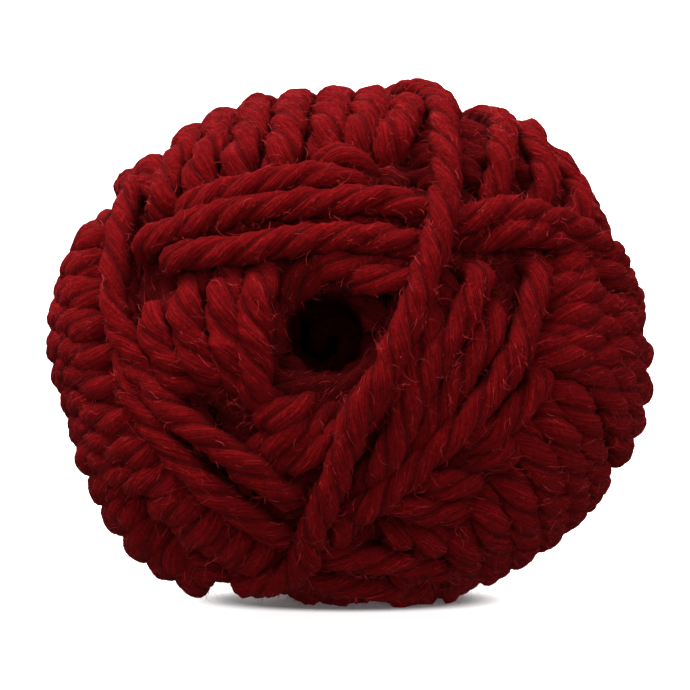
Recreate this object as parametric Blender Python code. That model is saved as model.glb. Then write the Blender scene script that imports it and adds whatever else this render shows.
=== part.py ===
"""A ball of chunky plied yarn, wound round a centre-pull hole and resting on a small flat spot."""

import math

import bmesh
import bpy
import numpy as np
from mathutils import Vector
from mathutils.bvhtree import BVHTree

for thing in list(bpy.data.objects):
    bpy.data.objects.remove(thing, do_unlink=True)

# Driving dimensions, in millimetres
MM = 0.001
STRAND = 5.4  # thickness of the plied yarn
WIDE = 1.14  # how much wider it is where it lies, pressed by its neighbours
PITCH = 5.5  # spacing of neighbouring turns
HALF_DEPTH = 50.0  # from the ball's middle to either end
MIDDLE_HEIGHT = 48.6  # of the ball's middle above the table
MIDDLE_X, MIDDLE_Y = -0.26, 1.32  # the ball's middle, beside the middle of its box
TILT = 10.5  # degrees by which the hole's end leans up
HOLE_X = -3.8  # the hole's axis, beside the ball's own
HOLE_RADIUS = 6.6
HOLE_DEPTH = 40.0
FLAT_RISE = 0.8  # what the table presses flat
SAG, SAG_RISE = 5.0, 25.0  # how far the soft underside settles, and from what height down
SAG_WIDTH, SAG_DEPTH, SAG_BACK = 22.0, 16.0, 5.5  # how wide and deep that is, and how far behind the middle
ROUNDNESS = 2.15  # power of the oval that joins rim and ends
NEST = 0.7  # how close crossing strands press, as a share of their thickness
HUDDLE = 0.6  # how close strands of one band press
FACES = 12600  # triangles of the finished solid

# Where the picture was taken from, in the ball's own frame
EYE_DISTANCE = 500.0
EYE_DROP = 2.5  # degrees below the hole's axis

# The rim seen from the hole's end: clock angle from the right, and radius
RIM = (
    (0, 55.4), (18, 52.4), (33, 52.7), (48, 52.9), (62, 49.8), (75, 47.6), (90, 46.9), (105, 47.4),
    (120, 49.2), (137, 50.1), (151, 52.6), (165, 54.1), (180, 55.3), (193, 53.2), (207, 54.2), (222, 55.8),
    (235, 54.6), (247, 51.2), (258, 48.6), (270, 47.6), (282, 47.8), (295, 49.6), (312, 52.4), (325, 54.0),
    (343, 56.4),
)

# Stations of a strand that goes over the rim to the back: turn from the hole's end, and change of clock angle
OVER_RIM = ((97, 0), (112, -6), (128, -14), (142, -26))

# Bands of side-by-side strands, in the order of winding: name, number of strands, how proud they lie, and
# stations. A station is one of these, for the first strand and then for the last:
# ("seen", across and up), as seen from the hole's end
# ("round", clock angle and turn from the hole's end)
# ("over", clock angle where the strand goes over the rim)
BANDS = (
    ("flank_low", 8, 0, (
        ("seen", -32.5, -15.5, -9, -40.5), ("seen", -38.5, -15.5, -16, -42),
        ("seen", -45, -13.5, -22.5, -43), ("seen", -49, -10.5, -27, -41.5), ("over", 192, 236),
    )),
    ("flank_high", 6, 0, (
        ("seen", -40.5, 19.5, -34, -11), ("seen", -44, 19, -41, -9.5), ("seen", -47, 18.5, -47, -7),
        ("seen", -48.5, 17.5, -51, -4.5), ("over", 154, 187),
    )),
    ("lip", 4, 0, (
        ("seen", -21.5, -13.5, -24, -30), ("seen", -17, -10.5, -18.5, -26.5), ("seen", -13, -8, -13, -23.5),
        ("seen", -7.5, -7.5, -7, -20.5), ("seen", -2, -7, -0.5, -16.5), ("seen", 3.5, -4, 5.5, -11),
        ("seen", 7.5, 1, 10.5, -5), ("seen", 11.5, 7, 15, 1.5), ("seen", 15, 13.5, 18.5, 8),
    )),
    ("jowl", 8, 0, (
        ("seen", 32, -2.5, 7, -29), ("seen", 37.5, -5.5, 8.5, -32), ("seen", 41.5, -10.5, 9.5, -34.5),
        ("seen", 44, -16.5, 10.5, -37.5), ("seen", 45, -22, 11, -40), ("seen", 44.5, -27.5, 11.5, -42.5),
        ("over", 326, 284),
    )),
    ("cheek", 6, 0, (
        ("seen", 25.5, 16, 31, 1.5), ("seen", 31.5, 17, 37, -1.5), ("seen", 37.5, 18, 42.5, -4),
        ("seen", 43, 17, 46.5, -8), ("seen", 47, 14, 49, -13.5), ("seen", 50, 10, 49.5, -19),
        ("over", 9, -22),
    )),
    ("nape", 2, 0, (
        ("over", 43, 32), ("seen", 39.5, 33, 44.5, 25.5), ("seen", 41.5, 28.5, 46, 21),
        ("seen", 43, 23, 46.5, 16.5), ("seen", 43.5, 17.5, 47, 12),
    )),
    ("cuff", 2, 0, (
        ("seen", 37.5, -4, 33.5, -17.5), ("seen", 34.5, -9, 30, -20), ("seen", 30.5, -13, 26, -22),
        ("seen", 26, -17, 21.5, -23.5), ("seen", 20.5, -20.5, 16, -24.5), ("seen", 14, -24, 10.5, -26.5),
        ("seen", 8, -27, 5.5, -28.5), ("seen", 2.5, -30, 0.5, -31),
    )),
    ("gusset", 1, -1.2, (
        ("seen", 29.5, 8.5), ("seen", 28, 5), ("seen", 25.5, 0), ("seen", 22, -5), ("seen", 18.5, -10.5),
        ("seen", 15, -16), ("seen", 11, -20), ("seen", 6.5, -24.5),
    )),
    ("keel", 2, -0.8, (
        ("seen", 4.5, -28.5, 0.5, -33), ("seen", 10.5, -27, 6, -31), ("seen", 16.5, -26.5, 12, -31),
        ("seen", 22, -26.5, 18.5, -31.5), ("seen", 26.5, -27.5, 24, -32.5),
    )),
    ("sole", 2, -0.4, (
        ("seen", -9, -39, -10.5, -43), ("seen", -2, -39.5, -2.5, -44), ("seen", 5.5, -40, 5.5, -44.5),
        ("seen", 13, -41, 13, -44.5), ("seen", 20, -42, 19.5, -44),
    )),
    ("brow", 3, 0, (
        ("seen", -11.5, -1.5, 0.5, 8), ("seen", -10.5, 3.5, 1.5, 11), ("seen", -8, 8, 3, 14),
        ("seen", -7, 13.5, 3.5, 19), ("seen", -6.5, 20.5, 4, 25.5), ("seen", -6, 28, 5.5, 31),
        ("seen", -5, 35, 8, 37), ("seen", -3, 41.5, 11, 42), ("over", 91, 75),
    )),
    ("bonnet", 1, 0, (
        ("seen", -40.5, 7), ("seen", -38.5, 14.5), ("seen", -38, 20.5), ("seen", -37, 25.5),
        ("seen", -36, 30.5), ("over", 138),
    )),
    ("fan", 4, 0, (
        ("seen", -18.5, -16.5, -16, -13.5), ("seen", -23, -13.5, -16.5, -9.5),
        ("seen", -27.5, -9.5, -16.5, -6), ("seen", -32.5, -4.5, -16, -0.5), ("seen", -35.5, 2, -16, 5),
        ("seen", -36.5, 9.5, -16, 10.5), ("seen", -36, 17, -16, 17), ("seen", -35, 24.5, -15.5, 24.5),
        ("seen", -32.5, 31, -13.5, 32), ("seen", -29.5, 36, -11, 39), ("over", 127, 100),
    )),
    ("visor", 2, -0.4, (
        ("seen", -7, 13, -2, 9), ("seen", -1.5, 13.5, 3, 10.5), ("seen", 4, 14.5, 7.5, 11.5),
        ("seen", 9.5, 15, 12.5, 11.5), ("seen", 15.5, 14.5, 16.5, 11.5),
    )),
    ("shoulder", 2, 0.4, (
        ("over", 60, 50), ("seen", 27, 41, 33.5, 37), ("seen", 28, 35.5, 35.5, 32),
        ("seen", 28, 28.5, 36.5, 26), ("seen", 27, 21.5, 36, 19), ("seen", 25.5, 15.5, 35, 13.5),
        ("seen", 23, 9.5, 33.5, 7.5), ("seen", 20.5, 4, 32, 1.5), ("seen", 17, -1.5, 29, -4.5),
        ("seen", 13.5, -7, 25, -10.5), ("seen", 10.5, -13, 20, -16), ("seen", 7.5, -19.5, 14.5, -21),
        ("seen", 4, -26, 9, -25.5), ("seen", 0.5, -32, 4, -29.5), ("seen", -2.5, -37.5, -0.5, -33),
    )),
    ("cap", 2, 0, (
        ("seen", -6.5, 35, 7, 33.5), ("seen", -0.5, 34, 9, 32.5), ("seen", 5, 32, 11.5, 30),
        ("seen", 10, 29, 14.5, 27.5), ("seen", 15.5, 25.5, 18, 24.5),
    )),
    ("eave", 2, 0.6, (
        ("seen", -40.5, 12.5, -33, 23), ("seen", -35, 14.5, -26, 26), ("seen", -27.5, 16, -17, 28.5),
        ("seen", -19, 17, -9, 30), ("seen", -9, 18.5, -0.5, 29.5), ("seen", 0.5, 19, 7, 27.5),
        ("seen", 9.5, 18.5, 13, 25.5), ("seen", 15.5, 18, 18, 23.5), ("seen", 20, 16.5, 21.5, 22),
    )),
    ("hood", 2, 0.8, (
        ("seen", -45.5, 11, -45.5, 11), ("seen", -42.5, 15, -42, 15), ("seen", -37.5, 17.5, -37, 18),
        ("seen", -32.5, 19.5, -32.5, 20), ("seen", -26.5, 21.5, -26, 22), ("seen", -19, 23.5, -18.5, 24),
        ("seen", -9, 24.5, -8.5, 25), ("seen", -0.5, 25, 0, 25.5), ("seen", 7, 24.5, 7, 25.5),
        ("seen", 14, 23.5, 14.5, 24.5), ("seen", 21.5, 21, 22, 23), ("seen", 29, 20, 28, 24),
        ("seen", 35, 20, 34.5, 23), ("seen", 40.5, 18.5, 40, 21), ("seen", 44.5, 16, 44.5, 18),
        ("seen", 47.5, 12.5, 48, 15), ("over", 5, 11),
    )),
    ("sweep", 2, 0.4, (
        ("seen", -8, -38.5, -8.5, -30.5), ("seen", -16, -33.5, -16, -24.5),
        ("seen", -24, -27.5, -24.5, -18), ("seen", -31.5, -20, -32.5, -12), ("seen", -37, -12.5, -37, -5.5),
        ("seen", -40.5, -6, -40, 0), ("seen", -42.5, 1.5, -42, 4.5), ("seen", -43.5, 9.5, -42.5, 10.5),
        ("seen", -43, 17, -42, 17.5), ("seen", -42, 23, -41, 23.5), ("seen", -40, 28, -39, 28.5),
        ("over", 146, 144),
    )),
    ("sash", 1, 2.2, (
        ("round", 224, 120), ("round", 205, 136), ("round", 180, 150), ("round", 140, 154),
        ("round", 112, 145), ("round", 98, 128), ("round", 86, 110), ("round", 78, 96), ("seen", 13, 46.5),
        ("seen", 16, 42.5), ("seen", 17, 36.5), ("seen", 17.5, 30), ("seen", 16.5, 23.5), ("seen", 15, 17),
        ("seen", 13, 10.5), ("seen", 10.5, 5), ("seen", 7.5, -0.5), ("seen", 5, -6), ("seen", 2, -11.5),
        ("seen", 0, -17), ("seen", -2, -22.5), ("seen", -4, -28), ("seen", -6.5, -34), ("seen", -8, -38.5),
        ("seen", -11, -41), ("seen", -16, -42.5), ("seen", -22, -43),
    )),
)

# Winding
SAMPLE = 1.5  # distance between points of a strand
CURVE_STEPS = 20  # of a strand's curve between two stations
SIGHTINGS = 12  # rounds in which a line of sight homes in on the form
RIM_BLEND = 8  # degrees either side over which the rim's table is smoothed
HOLE_EASE = 6  # how tightly strands bend round the hole, as a power
TINY = 1e-6
COIL_FROM, COIL_TO = 16.0, 173.0  # turn angles of the first layer's ends
COIL_RISE = -2.8  # of the first layer, against the form
COIL_SWAYS = ((2.0, 2, 0), (1.2, 3, 50))  # how the first layer wanders: degrees, waves in a turn, and phase
COIL_TIGHTEST = 0.12  # share of the form's radius below which a turn of the first layer gets no smaller
EASE = 3.0  # length over which a strand dips under another
CORE_DEPTH = 8.5  # how deep below the form a strand may be pressed
SINK, SINK_RUN = 6.0, 6.5  # how far, and over what length, a tucked end dips
PRESSING = 0.25  # share of that dip at which an end no longer presses the strands below it
WALL_FROM, WALL_TO = -40.0, -7.0  # where the turns that line the hole begin and end

# Skin
BACK_TURN = 179.2  # turn angle of the skin's first ring, at the back
LIP_TURN = 21.0  # and of the ring where it turns over into the hole
CLOCKS = 320  # points of the skin in a ring
SKIN_STEP = 1.0  # distance between rings
OUTER_RINGS = int(math.radians(180 - LIP_TURN) * HALF_DEPTH / SKIN_STEP)
TUBE_SIDES = 8  # of a strand while the skin is felt
REACH = 90.0  # from where the skin is felt for
NEAR_AXIS = 1.0  # and inside the hole
DEEPEST = 2.6  # how far a groove runs in below the turns beside it
GROOVE_SPAN = 4  # grid steps to the turns beside a groove
HOLE_EDGE = 14.0  # how far out from its axis the hole's lip reaches
LIP_RINGS = 30  # rings of skin over the lip
PRESS = 1.8  # how steeply the underside leaves the table
FLAT_SNAP = 0.25  # height below which a corner lies on the table


def unit(rows):
    return rows / np.linalg.norm(rows, axis=-1, keepdims=True)


def smooth_rim():
    angles = np.arange(360.0)
    clock, radius = np.array(RIM).T
    around = np.interp(angles, clock, radius, period=360)
    kernel = np.hanning(2 * RIM_BLEND + 1)
    kernel /= kernel.sum()
    wrapped = np.concatenate([around[-RIM_BLEND:], around, around[:RIM_BLEND]])
    return np.convolve(wrapped, kernel, "valid")


RIM_RADII = smooth_rim()


def form_radius(ways):
    """The wound form's radius along unit directions from its middle."""
    clock = np.degrees(np.arctan2(ways[:, 2], ways[:, 0])) % 360
    rim = np.interp(clock, np.arange(360.0), RIM_RADII, period=360)
    side = np.hypot(ways[:, 0], ways[:, 2])
    oval = (side / rim) ** ROUNDNESS + (np.abs(ways[:, 1]) / HALF_DEPTH) ** ROUNDNESS
    return oval ** (-1 / ROUNDNESS)


def seen(across, up):
    """The direction of the point of the form that shows at this place of the picture."""
    drop = math.radians(EYE_DROP)
    eye = np.array([0, -math.cos(drop), -math.sin(drop)]) * EYE_DISTANCE
    rise = np.array([0, -math.sin(drop), math.cos(drop)])
    sight = unit(np.array([across, 0, 0]) + rise * up - eye)
    nearest = -eye @ sight
    radius = HALF_DEPTH
    for _ in range(SIGHTINGS):
        gap = eye @ eye - nearest**2
        back = math.sqrt(max(0.0, radius**2 - gap))
        way = unit(eye + sight * (nearest - back))
        radius = form_radius(way[None])[0] - STRAND / 2
    return way


def rounded(clock, turn):
    """The direction at this clock angle, turned this far from the hole's end."""
    clock, turn = math.radians(clock), math.radians(turn)
    return np.array([math.sin(turn) * math.cos(clock), -math.cos(turn), math.sin(turn) * math.sin(clock)])


PLACE = {"seen": seen, "round": rounded}


def headings(points):
    """The way a line runs at each of its points, as long as the points are apart."""
    ahead = np.vstack([points[1:], 2 * points[-1] - points[-2]])
    behind = np.vstack([2 * points[0] - points[1], points[:-1]])
    return (ahead - behind) / 2


def spline(points):
    """Evenly spaced points along a smooth curve through these."""
    points = np.array(points)
    slopes = headings(points)
    curve = []
    for a, b, slope_a, slope_b in zip(points, points[1:], slopes, slopes[1:]):
        for t in np.arange(0, 1, 1 / CURVE_STEPS):
            h = t * t * (3 - 2 * t)
            curve.append(a + (b - a) * h + slope_a * t * (1 - t) ** 2 - slope_b * t * t * (1 - t))
    curve.append(points[-1])
    curve = np.array(curve)
    length = np.concatenate([[0], np.cumsum(np.linalg.norm(np.diff(curve, axis=0), axis=1))])
    even = np.linspace(0, length[-1], int(length[-1] * HALF_DEPTH / SAMPLE) + 2)
    return np.stack([np.interp(even, length, curve[:, k]) for k in range(3)], 1)


def clear_hole(points, least):
    """Push points out from the hole's axis, smoothly, to at least this distance."""
    aside = points * np.array([1.0, 0.0, 1.0]) - np.array([HOLE_X, 0.0, 0.0])
    reach = np.maximum(np.linalg.norm(aside, axis=1), TINY)
    pushed = (reach**HOLE_EASE + least**HOLE_EASE) ** (1 / HOLE_EASE)
    return points + aside * (pushed / reach - 1)[:, None] * (points[:, 1] < 0)[:, None]


def eased(heights):
    """Heights of a taut strand that stays below every one of these."""
    span = int(EASE / SAMPLE)
    padded = np.pad(heights, 3 * span, mode="edge")
    low = np.min([np.roll(padded, k) for k in range(-span, span + 1)], 0)
    kernel = np.hanning(2 * span + 3)
    kernel /= kernel.sum()
    return np.convolve(low, kernel, "same")[3 * span:-3 * span]


def first_layer():
    """The way of one coil from the hole's rim to the back."""
    turn, clock, ways = COIL_FROM, 0.0, []
    while turn < COIL_TO:
        sway = sum(size * math.sin(math.radians(waves * clock + phase)) for size, waves, phase in COIL_SWAYS)
        fade = math.sin(math.radians(turn)) ** 2
        ways.append(rounded(clock, turn + sway * fade))
        around = max(COIL_TIGHTEST, math.sin(math.radians(turn))) * HALF_DEPTH
        step = math.degrees(SAMPLE / around)
        clock += step
        turn += math.degrees(PITCH / HALF_DEPTH) * step / 360
    return np.array(ways)


def hole_turns():
    """The turns that line the hole."""
    radius = HOLE_RADIUS + STRAND / 2
    turns = (WALL_TO - WALL_FROM) / PITCH
    clock = np.linspace(0, turns * 2 * math.pi, int(turns * 2 * math.pi * radius / SAMPLE))
    along = np.linspace(WALL_FROM, WALL_TO, len(clock))
    return np.stack([HOLE_X + radius * np.cos(clock), along, radius * np.sin(clock)], 1)


def across(points):
    """The ways to a strand's side and out of the ball, at each point of its centre line."""
    tangent = unit(headings(points))
    side = unit(np.cross(tangent, unit(points)))
    return side, np.cross(side, tangent)


def routes():
    """Every strand in the order of winding: band, directions, how proud it lies, and if its ends dip."""
    found = [("coil", first_layer(), COIL_RISE, False)]
    for name, count, proud, rows in BANDS:
        edges = []
        for kind, *row in rows:
            row = row if count > 1 else row * 2
            if kind == "over":
                passed = [[rounded(clock + shift, turn) for clock in row] for turn, shift in OVER_RIM]
                edges += passed if edges else passed[::-1]
            else:
                edges.append((PLACE[kind](*row[:2]), PLACE[kind](*row[2:])))
        for share in np.linspace(0, 1, count):
            ways = spline([unit(a * (1 - share) + b * share) for a, b in edges])
            found.append((name, unit(ways), proud, True))
    return found


def wind():
    """Centre lines of every strand in the ball's own frame, each pressed down by those wound over it."""
    ways_above, radii_above, nearness = np.zeros((0, 3)), np.zeros(0), np.zeros(0)
    last_name = None
    strands = []
    for name, ways, proud, tucked in reversed(routes()):
        ways = unit(clear_hole(ways * HALF_DEPTH, HOLE_RADIUS + STRAND / 2))
        heights = form_radius(ways) - STRAND / 2 + proud
        if name != last_name:
            nearness[:] = STRAND * NEST
            last_name = name
        if len(ways_above):
            apart = np.sqrt(np.maximum(0, 2 - 2 * ways @ ways_above.T)) * radii_above
            drop = np.sqrt(np.maximum(0, nearness**2 - apart**2))
            allowed = np.where(apart < nearness, radii_above - drop, HALF_DEPTH * 2).min(1)
            heights = np.minimum(heights, allowed)
        heights = eased(heights)
        run = np.concatenate([[0], np.cumsum(np.linalg.norm(np.diff(ways, axis=0), axis=1))]) * HALF_DEPTH
        from_end = np.minimum(run, run[-1] - run)
        sunk = tucked * SINK * np.clip(1 - from_end / SINK_RUN, 0, 1) ** 2
        heights = np.maximum(heights - sunk, form_radius(ways) - CORE_DEPTH)
        presses = sunk < SINK * PRESSING
        ways_above = np.vstack([ways_above, ways[presses]])
        radii_above = np.concatenate([radii_above, heights[presses]])
        nearness = np.concatenate([nearness, np.full(presses.sum(), STRAND * HUDDLE)])
        points = clear_hole(ways * heights[:, None], HOLE_RADIUS + STRAND / 2)
        strands.append((name, points))
    strands.append(("bore", hole_turns()))
    return strands


def tube(points, corners, faces):
    """Add a plain strand about this centre line."""
    side, lift = across(points)
    angle = np.linspace(0, 2 * math.pi, TUBE_SIDES, endpoint=False)
    ring = WIDE * side[:, None] * np.cos(angle)[:, None] + lift[:, None] * np.sin(angle)[:, None]
    start = len(corners)
    corners.extend((points[:, None] + ring * STRAND / 2).reshape(-1, 3).tolist())
    for i in range(len(points) - 1):
        a, b = start + i * TUBE_SIDES, start + (i + 1) * TUBE_SIDES
        for k in range(TUBE_SIDES):
            j = (k + 1) % TUBE_SIDES
            faces.append((a + k, a + j, b + j, b + k))


# Where lines over the lip start, out from the axis and toward the eye, and how they lean, in radians
OVER_LIP = (
    (21.5, 56.0, -0.366), (18.5, 56.0, -0.28), (15.5, 55.7, -0.16), (13.0, 55.2, -0.03), (10.8, 54.4, 0.12),
    (8.8, 53.2, 0.30), (7.0, 51.6, 0.52), (5.4, 49.8, 0.80), (3.8, 47.4, 1.15), (2.0, 44.4, 1.57),
)


def sight_lines():
    """Starts and headings in the half plane of one clock angle: out from the hole's axis, and toward the eye.

    They come in from all round the back, the rim and the front, then tip over the lip and down the hole.
    """
    rows = []
    for turn in np.radians(np.linspace(BACK_TURN, LIP_TURN, OUTER_RINGS)):
        rows.append((REACH * math.sin(turn), REACH * math.cos(turn), -math.sin(turn), -math.cos(turn)))
    lip = np.array(OVER_LIP)
    for k in np.linspace(0, len(lip) - 1, LIP_RINGS):
        start_out, start_up, lean = [np.interp(k, np.arange(len(lip)), lip[:, c]) for c in range(3)]
        rows.append((start_out, start_up, math.sin(lean), -math.cos(lean)))
    for up in np.arange(lip[-1, 1] - SKIN_STEP, HALF_DEPTH - HOLE_DEPTH, -SKIN_STEP):
        rows.append((NEAR_AXIS, up, 1.0, 0.0))
    return rows


def feel_skin(strands):
    """A grid of points of the ball's skin, ring by ring from the back to the foot of the hole."""
    corners, faces = [], []
    for _, points in strands:
        tube(points, corners, faces)
    tree = BVHTree.FromPolygons(corners, faces)
    clocks = np.linspace(0, 2 * math.pi, CLOCKS, endpoint=False)
    lines = sight_lines()
    starts = np.zeros((len(lines), CLOCKS, 3))
    heads = np.zeros((len(lines), CLOCKS, 3))
    depths = np.full((len(lines), CLOCKS), REACH)
    for i, (out, up, go_out, go_up) in enumerate(lines):
        aside = HOLE_X * min(1.0, max(0.0, 2 - out / HOLE_EDGE))
        for j, clock in enumerate(clocks):
            c, s = math.cos(clock), math.sin(clock)
            starts[i, j] = (aside + out * c, -up, out * s)
            heads[i, j] = (go_out * c, -go_up, go_out * s)
            distance = tree.ray_cast(Vector(starts[i, j]), Vector(heads[i, j]), REACH)[3]
            if distance is not None:
                depths[i, j] = distance
    outer = depths[:OUTER_RINGS]
    shallow = outer.copy()
    for shift in range(1, GROOVE_SPAN + 1):
        for turned in (np.roll(outer, shift, 1), np.roll(outer, -shift, 1)):
            shallow = np.minimum(shallow, turned)
        shallow[shift:] = np.minimum(shallow[shift:], outer[:-shift])
        shallow[:-shift] = np.minimum(shallow[:-shift], outer[shift:])
    outer[:] = np.minimum(outer, shallow + DEEPEST)
    return starts + heads * depths[:, :, None]


def on_table(points):
    """The ball's own frame tilted and stood on the table, its underside pressed flat."""
    tilt = math.radians(TILT)
    x, y, z = np.moveaxis(points, -1, 0)
    back = y * math.cos(tilt) + z * math.sin(tilt)
    height = z * math.cos(tilt) - y * math.sin(tilt) + MIDDLE_HEIGHT
    settled = np.exp(-(x / SAG_WIDTH) ** 2 - ((back - SAG_BACK) / SAG_DEPTH) ** 2)
    height = height - SAG * settled * np.clip(1 - height / SAG_RISE, 0, 1)
    pressed = np.where(height < FLAT_RISE, 0, (height - FLAT_RISE) * PRESS)
    height = np.where(height < FLAT_RISE * PRESS / (PRESS - 1), pressed, height)
    return np.stack([x + MIDDLE_X, back + MIDDLE_Y, height], -1)


def skin_mesh(grid):
    """A closed mesh of the skin's grid."""
    rings, clocks = grid.shape[:2]
    mesh = bmesh.new()
    rows = [[mesh.verts.new(point) for point in ring] for ring in grid * MM]
    for low, high in zip(rows, rows[1:]):
        for j in range(clocks):
            k = (j + 1) % clocks
            mesh.faces.new((low[j], low[k], high[k], high[j]))
    for ring, flip in ((rows[0], True), (rows[-1], False)):
        middle = mesh.verts.new(sum((v.co for v in ring), Vector()) / clocks)
        for j in range(clocks):
            k = (j + 1) % clocks
            mesh.faces.new((ring[k], ring[j], middle) if flip else (ring[j], ring[k], middle))
    bmesh.ops.recalc_face_normals(mesh, faces=mesh.faces)
    return mesh


def yarn_material():
    material = bpy.data.materials.new("dark_red_yarn")
    material.use_nodes = True
    shader = material.node_tree.nodes["Principled BSDF"]
    shader.inputs["Base Color"].default_value = (0.13, 0.004, 0.005, 1)
    shader.inputs["Roughness"].default_value = 0.9
    return material


def yarn_ball():
    """The wound ball: one solid."""
    dense = skin_mesh(on_table(feel_skin(wind())))
    count = sum(len(face.verts) - 2 for face in dense.faces)
    data = bpy.data.meshes.new("yarn_ball")
    dense.to_mesh(data)
    dense.free()
    ball = bpy.data.objects.new("yarn_ball", data)
    bpy.context.scene.collection.objects.link(ball)
    thin = ball.modifiers.new("fewer_faces", "DECIMATE")
    thin.ratio = FACES / count
    reduced = bpy.data.meshes.new_from_object(ball.evaluated_get(bpy.context.evaluated_depsgraph_get()))
    ball.modifiers.clear()
    ball.data = reduced
    bpy.data.meshes.remove(data)
    reduced.name = "yarn_ball"
    for corner in reduced.vertices:
        if corner.co.z < FLAT_SNAP * MM:
            corner.co.z = 0.0
    reduced.materials.append(yarn_material())
    return ball


yarn_ball()
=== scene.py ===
"""Looks of a ball of chunky plied yarn: every strand with its plies, its fibres and its fuzz."""
import math

import bpy
import numpy as np
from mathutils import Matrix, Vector


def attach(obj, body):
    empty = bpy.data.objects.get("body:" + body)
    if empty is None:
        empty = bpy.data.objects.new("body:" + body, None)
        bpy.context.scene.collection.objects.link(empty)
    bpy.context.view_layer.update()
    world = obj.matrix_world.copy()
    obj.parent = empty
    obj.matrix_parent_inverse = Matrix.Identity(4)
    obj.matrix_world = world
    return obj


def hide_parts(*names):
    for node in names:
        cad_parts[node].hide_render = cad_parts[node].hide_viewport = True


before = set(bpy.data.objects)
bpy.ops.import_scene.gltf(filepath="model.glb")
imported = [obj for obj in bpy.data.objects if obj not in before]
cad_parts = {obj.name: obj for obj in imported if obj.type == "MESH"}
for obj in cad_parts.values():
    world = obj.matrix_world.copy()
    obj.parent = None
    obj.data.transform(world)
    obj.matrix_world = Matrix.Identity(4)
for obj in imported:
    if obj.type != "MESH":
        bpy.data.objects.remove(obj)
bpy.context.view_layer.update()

# Driving dimensions, in millimetres
MM = 0.001
STRAND = 5.4  # thickness of the plied yarn
PITCH = 5.5  # spacing of neighbouring turns
HALF_DEPTH = 50.0  # from the ball's middle to either end
MIDDLE_HEIGHT = 48.6  # of the ball's middle above the table
MIDDLE_X, MIDDLE_Y = -0.26, 1.32  # the ball's middle, beside the middle of its box
TILT = 10.5  # degrees by which the hole's end leans up
HOLE_X = -3.8  # the hole's axis, beside the ball's own
HOLE_RADIUS = 6.6
FLAT_RISE = 0.8  # what the table presses flat
SAG, SAG_RISE = 5.0, 25.0  # how far the soft underside settles, and from what height down
SAG_WIDTH, SAG_DEPTH, SAG_BACK = 22.0, 16.0, 5.5  # how wide and deep that is, and how far behind the middle
ROUNDNESS = 2.15  # power of the oval that joins rim and ends
NEST = 0.7  # how close crossing strands press, as a share of their thickness
HUDDLE = 0.6  # how close strands of one band press

# Where the picture was taken from, in the ball's own frame
EYE_DISTANCE = 500.0
EYE_DROP = 2.5  # degrees below the hole's axis

# The rim seen from the hole's end: clock angle from the right, and radius
RIM = (
    (0, 55.4), (18, 52.4), (33, 52.7), (48, 52.9), (62, 49.8), (75, 47.6), (90, 46.9), (105, 47.4),
    (120, 49.2), (137, 50.1), (151, 52.6), (165, 54.1), (180, 55.3), (193, 53.2), (207, 54.2), (222, 55.8),
    (235, 54.6), (247, 51.2), (258, 48.6), (270, 47.6), (282, 47.8), (295, 49.6), (312, 52.4), (325, 54.0),
    (343, 56.4),
)

# Stations of a strand that goes over the rim to the back: turn from the hole's end, and change of clock angle
OVER_RIM = ((97, 0), (112, -6), (128, -14), (142, -26))

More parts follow.
